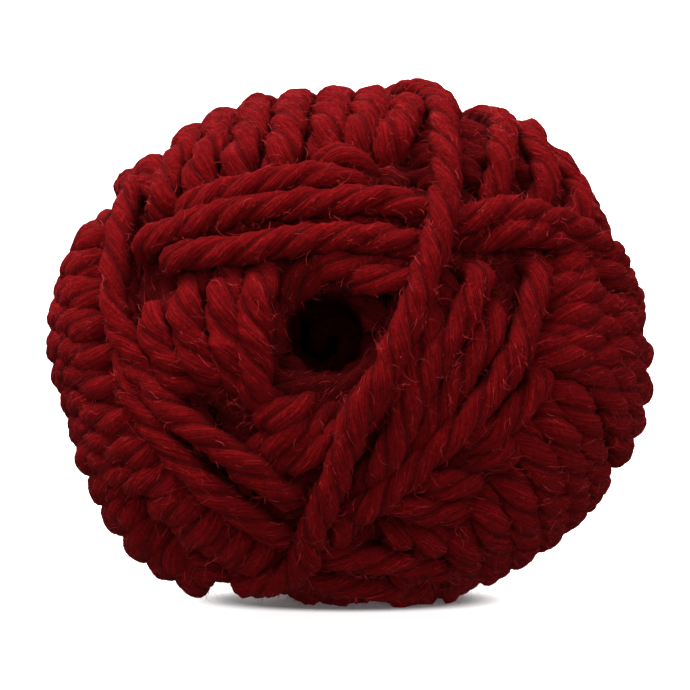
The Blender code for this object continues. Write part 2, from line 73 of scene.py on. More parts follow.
# Bands of side-by-side strands, in the order of winding: name, number of strands, how proud they lie, and
# stations. A station is one of these, for the first strand and then for the last:
# ("seen", across and up), as seen from the hole's end
# ("round", clock angle and turn from the hole's end)
# ("over", clock angle where the strand goes over the rim)
BANDS = (
    ("flank_low", 8, 0, (
        ("seen", -32.5, -15.5, -9, -40.5), ("seen", -38.5, -15.5, -16, -42),
        ("seen", -45, -13.5, -22.5, -43), ("seen", -49, -10.5, -27, -41.5), ("over", 192, 236),
    )),
    ("flank_high", 6, 0, (
        ("seen", -40.5, 19.5, -34, -11), ("seen", -44, 19, -41, -9.5), ("seen", -47, 18.5, -47, -7),
        ("seen", -48.5, 17.5, -51, -4.5), ("over", 154, 187),
    )),
    ("lip", 4, 0, (
        ("seen", -21.5, -13.5, -24, -30), ("seen", -17, -10.5, -18.5, -26.5), ("seen", -13, -8, -13, -23.5),
        ("seen", -7.5, -7.5, -7, -20.5), ("seen", -2, -7, -0.5, -16.5), ("seen", 3.5, -4, 5.5, -11),
        ("seen", 7.5, 1, 10.5, -5), ("seen", 11.5, 7, 15, 1.5), ("seen", 15, 13.5, 18.5, 8),
    )),
    ("jowl", 8, 0, (
        ("seen", 32, -2.5, 7, -29), ("seen", 37.5, -5.5, 8.5, -32), ("seen", 41.5, -10.5, 9.5, -34.5),
        ("seen", 44, -16.5, 10.5, -37.5), ("seen", 45, -22, 11, -40), ("seen", 44.5, -27.5, 11.5, -42.5),
        ("over", 326, 284),
    )),
    ("cheek", 6, 0, (
        ("seen", 25.5, 16, 31, 1.5), ("seen", 31.5, 17, 37, -1.5), ("seen", 37.5, 18, 42.5, -4),
        ("seen", 43, 17, 46.5, -8), ("seen", 47, 14, 49, -13.5), ("seen", 50, 10, 49.5, -19),
        ("over", 9, -22),
    )),
    ("nape", 2, 0, (
        ("over", 43, 32), ("seen", 39.5, 33, 44.5, 25.5), ("seen", 41.5, 28.5, 46, 21),
        ("seen", 43, 23, 46.5, 16.5), ("seen", 43.5, 17.5, 47, 12),
    )),
    ("cuff", 2, 0, (
        ("seen", 37.5, -4, 33.5, -17.5), ("seen", 34.5, -9, 30, -20), ("seen", 30.5, -13, 26, -22),
        ("seen", 26, -17, 21.5, -23.5), ("seen", 20.5, -20.5, 16, -24.5), ("seen", 14, -24, 10.5, -26.5),
        ("seen", 8, -27, 5.5, -28.5), ("seen", 2.5, -30, 0.5, -31),
    )),
    ("gusset", 1, -1.2, (
        ("seen", 29.5, 8.5), ("seen", 28, 5), ("seen", 25.5, 0), ("seen", 22, -5), ("seen", 18.5, -10.5),
        ("seen", 15, -16), ("seen", 11, -20), ("seen", 6.5, -24.5),
    )),
    ("keel", 2, -0.8, (
        ("seen", 4.5, -28.5, 0.5, -33), ("seen", 10.5, -27, 6, -31), ("seen", 16.5, -26.5, 12, -31),
        ("seen", 22, -26.5, 18.5, -31.5), ("seen", 26.5, -27.5, 24, -32.5),
    )),
    ("sole", 2, -0.4, (
        ("seen", -9, -39, -10.5, -43), ("seen", -2, -39.5, -2.5, -44), ("seen", 5.5, -40, 5.5, -44.5),
        ("seen", 13, -41, 13, -44.5), ("seen", 20, -42, 19.5, -44),
    )),
    ("brow", 3, 0, (
        ("seen", -11.5, -1.5, 0.5, 8), ("seen", -10.5, 3.5, 1.5, 11), ("seen", -8, 8, 3, 14),
        ("seen", -7, 13.5, 3.5, 19), ("seen", -6.5, 20.5, 4, 25.5), ("seen", -6, 28, 5.5, 31),
        ("seen", -5, 35, 8, 37), ("seen", -3, 41.5, 11, 42), ("over", 91, 75),
    )),
    ("bonnet", 1, 0, (
        ("seen", -40.5, 7), ("seen", -38.5, 14.5), ("seen", -38, 20.5), ("seen", -37, 25.5),
        ("seen", -36, 30.5), ("over", 138),
    )),
    ("fan", 4, 0, (
        ("seen", -18.5, -16.5, -16, -13.5), ("seen", -23, -13.5, -16.5, -9.5),
        ("seen", -27.5, -9.5, -16.5, -6), ("seen", -32.5, -4.5, -16, -0.5), ("seen", -35.5, 2, -16, 5),
        ("seen", -36.5, 9.5, -16, 10.5), ("seen", -36, 17, -16, 17), ("seen", -35, 24.5, -15.5, 24.5),
        ("seen", -32.5, 31, -13.5, 32), ("seen", -29.5, 36, -11, 39), ("over", 127, 100),
    )),
    ("visor", 2, -0.4, (
        ("seen", -7, 13, -2, 9), ("seen", -1.5, 13.5, 3, 10.5), ("seen", 4, 14.5, 7.5, 11.5),
        ("seen", 9.5, 15, 12.5, 11.5), ("seen", 15.5, 14.5, 16.5, 11.5),
    )),
    ("shoulder", 2, 0.4, (
        ("over", 60, 50), ("seen", 27, 41, 33.5, 37), ("seen", 28, 35.5, 35.5, 32),
        ("seen", 28, 28.5, 36.5, 26), ("seen", 27, 21.5, 36, 19), ("seen", 25.5, 15.5, 35, 13.5),
        ("seen", 23, 9.5, 33.5, 7.5), ("seen", 20.5, 4, 32, 1.5), ("seen", 17, -1.5, 29, -4.5),
        ("seen", 13.5, -7, 25, -10.5), ("seen", 10.5, -13, 20, -16), ("seen", 7.5, -19.5, 14.5, -21),
        ("seen", 4, -26, 9, -25.5), ("seen", 0.5, -32, 4, -29.5), ("seen", -2.5, -37.5, -0.5, -33),
    )),
    ("cap", 2, 0, (
        ("seen", -6.5, 35, 7, 33.5), ("seen", -0.5, 34, 9, 32.5), ("seen", 5, 32, 11.5, 30),
        ("seen", 10, 29, 14.5, 27.5), ("seen", 15.5, 25.5, 18, 24.5),
    )),
    ("eave", 2, 0.6, (
        ("seen", -40.5, 12.5, -33, 23), ("seen", -35, 14.5, -26, 26), ("seen", -27.5, 16, -17, 28.5),
        ("seen", -19, 17, -9, 30), ("seen", -9, 18.5, -0.5, 29.5), ("seen", 0.5, 19, 7, 27.5),
        ("seen", 9.5, 18.5, 13, 25.5), ("seen", 15.5, 18, 18, 23.5), ("seen", 20, 16.5, 21.5, 22),
    )),
    ("hood", 2, 0.8, (
        ("seen", -45.5, 11, -45.5, 11), ("seen", -42.5, 15, -42, 15), ("seen", -37.5, 17.5, -37, 18),
        ("seen", -32.5, 19.5, -32.5, 20), ("seen", -26.5, 21.5, -26, 22), ("seen", -19, 23.5, -18.5, 24),
        ("seen", -9, 24.5, -8.5, 25), ("seen", -0.5, 25, 0, 25.5), ("seen", 7, 24.5, 7, 25.5),
        ("seen", 14, 23.5, 14.5, 24.5), ("seen", 21.5, 21, 22, 23), ("seen", 29, 20, 28, 24),
        ("seen", 35, 20, 34.5, 23), ("seen", 40.5, 18.5, 40, 21), ("seen", 44.5, 16, 44.5, 18),
        ("seen", 47.5, 12.5, 48, 15), ("over", 5, 11),
    )),
    ("sweep", 2, 0.4, (
        ("seen", -8, -38.5, -8.5, -30.5), ("seen", -16, -33.5, -16, -24.5),
        ("seen", -24, -27.5, -24.5, -18), ("seen", -31.5, -20, -32.5, -12), ("seen", -37, -12.5, -37, -5.5),
        ("seen", -40.5, -6, -40, 0), ("seen", -42.5, 1.5, -42, 4.5), ("seen", -43.5, 9.5, -42.5, 10.5),
        ("seen", -43, 17, -42, 17.5), ("seen", -42, 23, -41, 23.5), ("seen", -40, 28, -39, 28.5),
        ("over", 146, 144),
    )),
    ("sash", 1, 2.2, (
        ("round", 224, 120), ("round", 205, 136), ("round", 180, 150), ("round", 140, 154),
        ("round", 112, 145), ("round", 98, 128), ("round", 86, 110), ("round", 78, 96), ("seen", 13, 46.5),
        ("seen", 16, 42.5), ("seen", 17, 36.5), ("seen", 17.5, 30), ("seen", 16.5, 23.5), ("seen", 15, 17),
        ("seen", 13, 10.5), ("seen", 10.5, 5), ("seen", 7.5, -0.5), ("seen", 5, -6), ("seen", 2, -11.5),
        ("seen", 0, -17), ("seen", -2, -22.5), ("seen", -4, -28), ("seen", -6.5, -34), ("seen", -8, -38.5),
        ("seen", -11, -41), ("seen", -16, -42.5), ("seen", -22, -43),
    )),
)

# Winding
SAMPLE = 1.5  # distance between points of a strand
CURVE_STEPS = 20  # of a strand's curve between two stations
SIGHTINGS = 12  # rounds in which a line of sight homes in on the form
RIM_BLEND = 8  # degrees either side over which the rim's table is smoothed
HOLE_EASE = 6  # how tightly strands bend round the hole, as a power
TINY = 1e-6
COIL_FROM, COIL_TO = 16.0, 173.0  # turn angles of the first layer's ends
COIL_RISE = -2.8  # of the first layer, against the form
COIL_SWAYS = ((2.0, 2, 0), (1.2, 3, 50))  # how the first layer wanders: degrees, waves in a turn, and phase
COIL_TIGHTEST = 0.12  # share of the form's radius below which a turn of the first layer gets no smaller
EASE = 3.0  # length over which a strand dips under another
CORE_DEPTH = 8.5  # how deep below the form a strand may be pressed
SINK, SINK_RUN = 6.0, 6.5  # how far, and over what length, a tucked end dips
PRESSING = 0.25  # share of that dip at which an end no longer presses the strands below it
WALL_FROM, WALL_TO = -40.0, -7.0  # where the turns that line the hole begin and end
PRESS = 1.8  # how steeply the underside leaves the table

# Plies
PLIES = 3
PLY_POINTS = 8  # corners of the section per ply
PLY_OUT = 0.32  # a ply's centre from the strand's, and its radius, as shares of the strand's radius
PLY_RADIUS = 0.69
FINE_STEP, COARSE_STEP = 1.0, 1.5  # distance between sections of a strand
HIDDEN = ("coil", "bore")  # wound first and mostly covered
PACKED = ("flank_low", "flank_high", "jowl", "cheek", "nape", "brow", "bonnet", "fan")  # pressed side by side
PACKED_WIDE, LOOSE_WIDE = 1.28, 1.06  # how much wider than thick a strand is in those bands, and elsewhere
TWIST_PITCH = 21.0  # length of one turn of the plies
# How much a strand varies, and the lengths of the waves in which it does
LAZY, LAZY_WAVES = 0.3, (37, 61)  # how far its plies turn, in radians
WANDER, WANDER_WAVES = 0.3, (23, 41, 67)  # how far it strays sideways
SWELL, SWELL_WAVES = 0.09, (9, 17, 31)  # its thickness
PLY_SWELL, PLY_WAVES = 0.16, (5.3, 8.9, 14)  # the thickness of each ply
KNOB_SWELL, KNOB_WAVES = 0.035, (2.3, 3.1, 4.1)  # the small knobs on it
KNOB_WINDS = 5  # most turns that a row of knobs makes round the strand in its wave
LEAST_WAVE = 0.5  # how strong the weakest wave is, beside the strongest
SEED = 7

# Inside
END_BACK, END_POINTS = 2.0, 24  # how far behind the hole's wall its end lies, and the fewest points in it
END_RADIUS = 0.6  # of the end's innermost turn
CORE_SIDES, CORE_ROWS = 60, 40
CORE_FROM = 20  # turn angle of the first row round the hole
CORE_BELOW = 7.0  # how deep the wound inside lies below the form
CORE_CLEAR = 0.8  # and how far round the hole's wall, in strands

# Fuzz: number of fibres, parts of each, lengths, how steeply they leave the strand, width and curl
FUZZ = {
    "long_fibres": (7000, 6, (2.5, 6.0), (0.1, 0.6), 0.05, 3.0),
    "short_fibres": (32000, 3, (0.8, 2.2), (0.2, 0.9), 0.07, 1.8),
    "lying_fibres": (24000, 4, (1.5, 4.0), (0.02, 0.22), 0.09, 2.0),
}
FACES_OUT = -0.1  # fibres stand only where the strand faces out of the ball
FIBRE_STRAY = 0.2  # how far a fibre's first heading strays
FIBRE_FALL = 0.4  # how much it bends back to the strand
FIBRE_SWERVE = 0.5  # how much its bend changes along it
FIBRE_TIP = 0.4  # its width at the tip, as a share

# Colours, as linear light
YARN_RED = (0.135, 0.0016, 0.0024)
YARN_LIGHT = (0.30, 0.0070, 0.0090)
YARN_DARK = (0.030, 0.0005, 0.0008)
# the inside's wool, painted nearly black as shade
CORE_PAINTED_SHADE = (0.010, 0.0002, 0.0003)
# paler red of thin loose fibres, partly painted glow of light passing through them
FIBRE_GLOW_RED = (0.50, 0.035, 0.040)
# painted shade that darkens the grooves between plies
GROOVE_PAINTED_SHADE = (0.26, 0.20, 0.20)
SHEEN_TINT = (1.0, 0.05, 0.06)
PAPER = (0.85, 0.845, 0.84)
PAPER_TINT = (1.0, 0.97, 0.97)

# Wool
STREAKS = {"Scale": 1.0, "Detail": 5.0, "Roughness": 0.65, "Distortion": 0.6}
STREAK_STRETCH = (0.16, 44.0, 1.0)  # the streaks' scale along the strand and round it
CURLS = {"Scale": 430.0, "Detail": 6.0, "Roughness": 0.8, "Distortion": 2.6}
STREAK_SHIFT = 100.0  # most that the streaks of one strand are shifted along it
CURL_SHARE = 0.45  # how much of the tone the curls give; the streaks give the rest
WOOL_TONES = ((0.38, YARN_DARK), (0.52, YARN_RED), (0.63, YARN_LIGHT))
GROOVE_SHADE_WIDTH = 0.18  # of the painted shade in the groove between plies, either side, as a share of a ply
# Painted shade in the wool's colour, lighter toward the strand's crown and darker deep below the ball's form:
# from and to what openness the colour brightens, and the darkest share
PAINTED_SHADE_LIMITS = {"X": (0.30, 0.80, 0.12), "Y": (0.20, 0.85, 0.15)}
PAINTED_SHADE_DEPTH = 7.0  # how far below the form the painted shade is darkest
RELIEF = 0.0009  # height of the wool's fine relief, in metres
SHEEN, SHEEN_ROUGHNESS = 0.2, 0.5
WOOL_GLOSS, FIBRE_GLOSS = 0.01, 0.05
FIBRE_NOISE = {"Scale": 300.0, "Detail": 1.0}
FIBRE_TONES = ((0.3, YARN_RED), (0.7, FIBRE_GLOW_RED))

# Camera and light
FRAME_PIXELS = 690
BALL_CENTRE_PIXEL = (348, 343)
MM_PER_PIXEL = 0.18333
ELEVATION = 8.0
SENSOR = 36.0
ROOM_LIGHT = (0.26, 0.78)  # of the room from below, and from above
ROOM_HEIGHTS = (-0.4, 0.6)  # between which it changes
PAPER_ROUGHNESS = 0.9
PAPER_GLOW_AND_SHADOW = (0.05, 0.92)  # of the sheet where the ball rests on it, dimmed as a painted shadow, and away from it
SHADOW_EDGE = (0.85, 1.35)  # where the edge of that painted shadow begins and ends, as shares of its half widths
# In metres: half widths of the painted shadow, how far back it lies, the sheet's own half width, and its drop
SHADOW_WIDE, SHADOW_DEEP, SHADOW_BACK = 0.024, 0.0085, 0.004
FLOOR_REACH, FLOOR_DROP = 60.0, 0.0001
# Lamps: where each comes from, its strength and its spread in degrees
LAMPS = {
    "soft_top_light": ((-0.35, -0.05, 1.0), 5.4, 40.0),
    "front_fill": ((0.15, -1.0, 0.3), 1.7, 60.0),
    "back_edge_light": ((-0.3, 1.0, 0.55), 4.0, 40.0),
}


def unit(rows):
    return rows / np.linalg.norm(rows, axis=-1, keepdims=True)


def smooth_rim():
    angles = np.arange(360.0)
    clock, radius = np.array(RIM).T
    around = np.interp(angles, clock, radius, period=360)
    kernel = np.hanning(2 * RIM_BLEND + 1)
    kernel /= kernel.sum()
    wrapped = np.concatenate([around[-RIM_BLEND:], around, around[:RIM_BLEND]])
    return np.convolve(wrapped, kernel, "valid")


RIM_RADII = smooth_rim()


def form_radius(ways):
    """The wound form's radius along unit directions from its middle."""
    clock = np.degrees(np.arctan2(ways[:, 2], ways[:, 0])) % 360
    rim = np.interp(clock, np.arange(360.0), RIM_RADII, period=360)
    side = np.hypot(ways[:, 0], ways[:, 2])
    oval = (side / rim) ** ROUNDNESS + (np.abs(ways[:, 1]) / HALF_DEPTH) ** ROUNDNESS
    return oval ** (-1 / ROUNDNESS)


def seen(across, up):
    """The direction of the point of the form that shows at this place of the picture."""
    drop = math.radians(EYE_DROP)
    eye = np.array([0, -math.cos(drop), -math.sin(drop)]) * EYE_DISTANCE
    rise = np.array([0, -math.sin(drop), math.cos(drop)])
    sight = unit(np.array([across, 0, 0]) + rise * up - eye)
    nearest = -eye @ sight
    radius = HALF_DEPTH
    for _ in range(SIGHTINGS):
        gap = eye @ eye - nearest**2
        back = math.sqrt(max(0.0, radius**2 - gap))
        way = unit(eye + sight * (nearest - back))
        radius = form_radius(way[None])[0] - STRAND / 2
    return way


def rounded(clock, turn):
    """The direction at this clock angle, turned this far from the hole's end."""
    clock, turn = math.radians(clock), math.radians(turn)
    return np.array([math.sin(turn) * math.cos(clock), -math.cos(turn), math.sin(turn) * math.sin(clock)])


PLACE = {"seen": seen, "round": rounded}


def headings(points):
    """The way a line runs at each of its points, as long as the points are apart."""
    ahead = np.vstack([points[1:], 2 * points[-1] - points[-2]])
    behind = np.vstack([2 * points[0] - points[1], points[:-1]])
    return (ahead - behind) / 2


def spline(points):
    """Evenly spaced points along a smooth curve through these."""
    points = np.array(points)
    slopes = headings(points)
    curve = []
    for a, b, slope_a, slope_b in zip(points, points[1:], slopes, slopes[1:]):
        for t in np.arange(0, 1, 1 / CURVE_STEPS):
            h = t * t * (3 - 2 * t)
            curve.append(a + (b - a) * h + slope_a * t * (1 - t) ** 2 - slope_b * t * t * (1 - t))
    curve.append(points[-1])
    curve = np.array(curve)
    length = np.concatenate([[0], np.cumsum(np.linalg.norm(np.diff(curve, axis=0), axis=1))])
    even = np.linspace(0, length[-1], int(length[-1] * HALF_DEPTH / SAMPLE) + 2)
    return np.stack([np.interp(even, length, curve[:, k]) for k in range(3)], 1)


def clear_hole(points, least):
    """Push points out from the hole's axis, smoothly, to at least this distance."""
    aside = points * np.array([1.0, 0.0, 1.0]) - np.array([HOLE_X, 0.0, 0.0])
    reach = np.maximum(np.linalg.norm(aside, axis=1), TINY)
    pushed = (reach**HOLE_EASE + least**HOLE_EASE) ** (1 / HOLE_EASE)
    return points + aside * (pushed / reach - 1)[:, None] * (points[:, 1] < 0)[:, None]


def eased(heights):
    """Heights of a taut strand that stays below every one of these."""
    span = int(EASE / SAMPLE)
    padded = np.pad(heights, 3 * span, mode="edge")
    low = np.min([np.roll(padded, k) for k in range(-span, span + 1)], 0)
    kernel = np.hanning(2 * span + 3)
    kernel /= kernel.sum()
    return np.convolve(low, kernel, "same")[3 * span:-3 * span]


def first_layer():
    """The way of one coil from the hole's rim to the back."""
    turn, clock, ways = COIL_FROM, 0.0, []
    while turn < COIL_TO:
        sway = sum(size * math.sin(math.radians(waves * clock + phase)) for size, waves, phase in COIL_SWAYS)
        fade = math.sin(math.radians(turn)) ** 2
        ways.append(rounded(clock, turn + sway * fade))
        around = max(COIL_TIGHTEST, math.sin(math.radians(turn))) * HALF_DEPTH
        step = math.degrees(SAMPLE / around)
        clock += step
        turn += math.degrees(PITCH / HALF_DEPTH) * step / 360
    return np.array(ways)


def hole_turns():
    """The turns that line the hole."""
    radius = HOLE_RADIUS + STRAND / 2
    turns = (WALL_TO - WALL_FROM) / PITCH
    clock = np.linspace(0, turns * 2 * math.pi, int(turns * 2 * math.pi * radius / SAMPLE))
    along = np.linspace(WALL_FROM, WALL_TO, len(clock))
    return np.stack([HOLE_X + radius * np.cos(clock), along, radius * np.sin(clock)], 1)


def across(points):
    """The ways to a strand's side and out of the ball, at each point of its centre line."""
    tangent = unit(headings(points))
    side = unit(np.cross(tangent, unit(points)))
    return side, np.cross(side, tangent)


def routes():
    """Every strand in the order of winding: band, directions, how proud it lies, and if its ends dip."""
    found = [("coil", first_layer(), COIL_RISE, False)]
    for name, count, proud, rows in BANDS:
        edges = []
        for kind, *row in rows:
            row = row if count > 1 else row * 2
            if kind == "over":
                passed = [[rounded(clock + shift, turn) for clock in row] for turn, shift in OVER_RIM]
                edges += passed if edges else passed[::-1]
            else:
                edges.append((PLACE[kind](*row[:2]), PLACE[kind](*row[2:])))
        for share in np.linspace(0, 1, count):
            ways = spline([unit(a * (1 - share) + b * share) for a, b in edges])
            found.append((name, unit(ways), proud, True))
    return found


def wind():
    """Centre lines of every strand in the ball's own frame, each pressed down by those wound over it."""
    ways_above, radii_above, nearness = np.zeros((0, 3)), np.zeros(0), np.zeros(0)
    last_name = None
    strands = []
    for name, ways, proud, tucked in reversed(routes()):
        ways = unit(clear_hole(ways * HALF_DEPTH, HOLE_RADIUS + STRAND / 2))
        heights = form_radius(ways) - STRAND / 2 + proud
        if name != last_name:
            nearness[:] = STRAND * NEST
            last_name = name
        if len(ways_above):
            apart = np.sqrt(np.maximum(0, 2 - 2 * ways @ ways_above.T)) * radii_above
            drop = np.sqrt(np.maximum(0, nearness**2 - apart**2))
            allowed = np.where(apart < nearness, radii_above - drop, HALF_DEPTH * 2).min(1)
            heights = np.minimum(heights, allowed)
        heights = eased(heights)
        run = np.concatenate([[0], np.cumsum(np.linalg.norm(np.diff(ways, axis=0), axis=1))]) * HALF_DEPTH
        from_end = np.minimum(run, run[-1] - run)
        sunk = tucked * SINK * np.clip(1 - from_end / SINK_RUN, 0, 1) ** 2
        heights = np.maximum(heights - sunk, form_radius(ways) - CORE_DEPTH)
        presses = sunk < SINK * PRESSING
        ways_above = np.vstack([ways_above, ways[presses]])
        radii_above = np.concatenate([radii_above, heights[presses]])
        nearness = np.concatenate([nearness, np.full(presses.sum(), STRAND * HUDDLE)])
        points = clear_hole(ways * heights[:, None], HOLE_RADIUS + STRAND / 2)
        strands.append((name, points))
    strands.append(("bore", hole_turns()))
    return strands


def on_table(points):
    """The ball's own frame tilted and stood on the table, its underside pressed flat."""
    tilt = math.radians(TILT)
    x, y, z = np.moveaxis(points, -1, 0)
    back = y * math.cos(tilt) + z * math.sin(tilt)
    height = z * math.cos(tilt) - y * math.sin(tilt) + MIDDLE_HEIGHT
    settled = np.exp(-(x / SAG_WIDTH) ** 2 - ((back - SAG_BACK) / SAG_DEPTH) ** 2)
    height = height - SAG * settled * np.clip(1 - height / SAG_RISE, 0, 1)
    pressed = np.where(height < FLAT_RISE, 0, (height - FLAT_RISE) * PRESS)
    height = np.where(height < FLAT_RISE * PRESS / (PRESS - 1), pressed, height)
    return np.stack([x + MIDDLE_X, back + MIDDLE_Y, height], -1)


def even(points, step):
    """The same centre line with sections this far apart, and how far along it each is."""
    length = np.concatenate([[0], np.cumsum(np.linalg.norm(np.diff(points, axis=0), axis=1))])
    count = max(4, int(round(length[-1] / step)))
    at = np.linspace(0, length[-1], count + 1)
    return cubic(at, length, points), at


def cubic(at, knots, values):
    """Smooth values between knots, by a Catmull-Rom curve."""
    span = np.clip(np.searchsorted(knots, at, "right") - 1, 0, len(knots) - 2)
    t = ((at - knots[span]) / np.maximum(knots[span + 1] - knots[span], TINY))[:, None]
    p0, p1 = values[np.maximum(span - 1, 0)], values[span]
    p2, p3 = values[span + 1], values[np.minimum(span + 2, len(knots) - 1)]
    return 0.5 * (2 * p1 + (p2 - p0) * t + (2 * p0 - 5 * p1 + 4 * p2 - p3) * t**2
                  + (3 * p1 - 3 * p2 + p3 - p0) * t**3)


def ripple(at, waves, rng):
    """A smooth wandering value along a strand, from waves of these lengths."""
    total = np.zeros(len(at))
    for wave in waves:
        total += rng.uniform(LEAST_WAVE, 1.0) * np.sin(2 * math.pi * (at / wave + rng.random()))
    return total / len(waves)


def section():
    """Angle from the first ply, and radius share, of each corner of a strand's section."""
    half = math.pi / PLIES
    angles = np.arange(PLIES * PLY_POINTS) * 2 * math.pi / (PLIES * PLY_POINTS)
    off = (angles + half) % (2 * half) - half
    return angles, PLY_OUT * np.cos(off) + np.sqrt(PLY_RADIUS**2 - (PLY_OUT * np.sin(off)) ** 2)


def lumps(at, angles, rng):
    """How each place of a strand's surface swells: every ply by itself, and small knobs on it."""
    total = np.ones((len(at), len(angles)))
    for ply in range(PLIES):
        off = np.angle(np.exp(1j * (angles - ply * 2 * math.pi / PLIES)))
        on_ply = np.maximum(0, np.cos(PLIES / 2 * off))
        total += PLY_SWELL * ripple(at, PLY_WAVES, rng)[:, None] * on_ply[None]
    for wave in KNOB_WAVES:
        winds = rng.integers(-KNOB_WINDS, KNOB_WINDS + 1)
        phase = 2 * math.pi * (at / wave + rng.random())
        total += KNOB_SWELL * np.sin(phase[:, None] + winds * angles[None])
    return total


def strand_grid(points, step, wide, rng):
    """Corners of a plied strand, ring by ring, how far along it each ring is, and the painted shade at each
    corner.

    The last is a pair of painted shade masks: lighter toward the strand's crown, darker deeper below the
    ball's form.
    """
    points, at = even(points, step)
    side, lift = across(points)
    points = points + side * (WANDER * ripple(at, WANDER_WAVES, rng))[:, None]
    swell = 1 + SWELL * ripple(at, SWELL_WAVES, rng)
    twist = 2 * math.pi * (at / TWIST_PITCH + rng.random()) + LAZY * ripple(at, LAZY_WAVES, rng)
    angles, share = section()
    around = twist[:, None] + angles[None]
    radius = STRAND / 2 * swell[:, None] * share[None] * lumps(at, angles, rng)
    corners = (points[:, None] + side[:, None] * (np.cos(around) * radius * wide)[:, :, None]
               + lift[:, None] * (np.sin(around) * radius)[:, :, None])
    # painted shade: the colour lighter toward the strand's crown, which faces out of the ball, and darker the
    # deeper it lies
    below = form_radius(unit(points)) - STRAND / 2 - np.linalg.norm(points, axis=1)
    shade_by_depth = np.broadcast_to(np.clip(1 - below / PAINTED_SHADE_DEPTH, 0, 1)[:, None], around.shape)
    return corners, at, np.stack([0.5 + 0.5 * np.sin(around), shade_by_depth], -1)


def ring_quads(start, rings, count):
    """Faces between rings of corners, this many corners in each."""
    low = start + np.arange(rings - 1)[:, None] * count
    k = np.arange(count)[None]
    after = (k + 1) % count
    return np.stack([low + k, low + count + k, low + count + after, low + after], -1).reshape(-1, 4)


def strips(quads, count, long):
    """A map of quads laid in strips, one above another: this many across a strip, and this many along it."""
    number = np.arange(quads)
    ring, k = number // count, number % count
    rows = math.ceil(quads / count / long)
    x, y = ring % long / long, (ring // long + k / count) / rows
    right, top = x + 1 / long, y + 1 / count / rows
    return np.stack([x, y, right, y, right, top, x, top], -1).reshape(-1, 4, 2)


def add_piece(name, corners, quads, maps, material):
    """Put a smooth mesh in the scene as a piece of the ball, from corners in the ball's own frame."""
    corners = on_table(corners) * MM
    mesh = bpy.data.meshes.new(name)
    mesh.vertices.add(len(corners))
    mesh.vertices.foreach_set("co", corners.astype(np.float32).ravel())
    mesh.loops.add(quads.size)
    mesh.loops.foreach_set("vertex_index", quads.astype(np.int32).ravel())
    mesh.polygons.add(len(quads))
    mesh.polygons.foreach_set("loop_start", np.arange(0, quads.size, 4, dtype=np.int32))
    mesh.polygons.foreach_set("use_smooth", np.ones(len(quads), dtype=bool))
    for title, spots in maps.items():
        layer = mesh.uv_layers.new(name=title)
        layer.data.foreach_set("uv", spots.astype(np.float32).ravel())
    mesh.update(calc_edges=True)
    mesh.validate()
    mesh.materials.append(material)
    piece = bpy.data.objects.new(name, mesh)
    bpy.context.scene.collection.objects.link(piece)
    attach(piece, "root")
    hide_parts("yarn_ball")


def strands_piece(name, grids, material):
    """A piece of plied strands, with maps of place along and round a strand, painted shade, and bake strips.
    """
    count = PLIES * PLY_POINTS
    corners, quads, places, shade_maps = [], [], [], []
    start = 0
    for grid, at, openness, shift in grids:
        rings = len(grid)
        i, k = np.arange(rings - 1)[:, None], np.arange(count)[None]
        after = (k + 1) % count
        corners.append(grid.reshape(-1, 3))
        quads.append(ring_quads(start, rings, count))
        along = np.broadcast_to(at[i] + shift, (rings - 1, count))
        around = np.broadcast_to(k / count, (rings - 1, count))
        ahead, beside = along + (at[1] - at[0]), around + 1 / count
        place = [along, around, ahead, around, ahead, beside, along, beside]
        shade_corners = [openness[i, k], openness[i + 1, k], openness[i + 1, after], openness[i, after]]
        places.append(np.stack(place, -1).reshape(-1, 4, 2))
        shade_maps.append(np.stack(shade_corners, 2).reshape(-1, 4, 2))
        start += rings * count
    quads = np.concatenate(quads)
    long = math.ceil(math.sqrt(len(quads) / count * STRAND * math.pi))
    maps = {
        "Yarn": np.concatenate(places),
        "Open": np.concatenate(shade_maps),
        "OFBake": strips(len(quads), count, long),
    }
    add_piece(name, np.concatenate(corners), quads, maps, material)


def hole_end():
    """The turns that close the hole's end, spiralling in to its axis."""
    turns = (HOLE_RADIUS + STRAND / 2) / PITCH
    count = max(END_POINTS, int(turns * math.pi * HOLE_RADIUS / SAMPLE))
    share = np.linspace(0, 1, count) ** 0.5
    clock = share * turns * 2 * math.pi
    radius = (HOLE_RADIUS + STRAND / 2) * (1 - share) + END_RADIUS
    along = np.full(count, WALL_TO + END_BACK)
    return np.stack([HOLE_X + radius * np.cos(clock), along, radius * np.sin(clock)], 1)


def core_piece(material):
    """The wound inside, painted dark as the shade between the strands, hollow where the hole runs in."""
    clocks = np.arange(0, 360, 360 / CORE_SIDES)
    x, z = np.cos(np.radians(clocks)), np.sin(np.radians(clocks))
    end, radius = WALL_TO + STRAND, HOLE_RADIUS + STRAND * CORE_CLEAR
    rows = []
    for along, reach in ((end, 0.0), (end, radius), (WALL_FROM, radius)):
        rows.append(np.stack([HOLE_X + reach * x, np.full(CORE_SIDES, along), reach * z], 1))
    for turn in np.linspace(CORE_FROM, 180, CORE_ROWS):
        ways = np.array([rounded(clock, turn) for clock in clocks])
        rows.append(ways * (form_radius(ways) - CORE_BELOW)[:, None])
    quads = ring_quads(0, len(rows), CORE_SIDES)[:, ::-1]
    add_piece("inner_core", np.concatenate(rows), quads, {}, material)


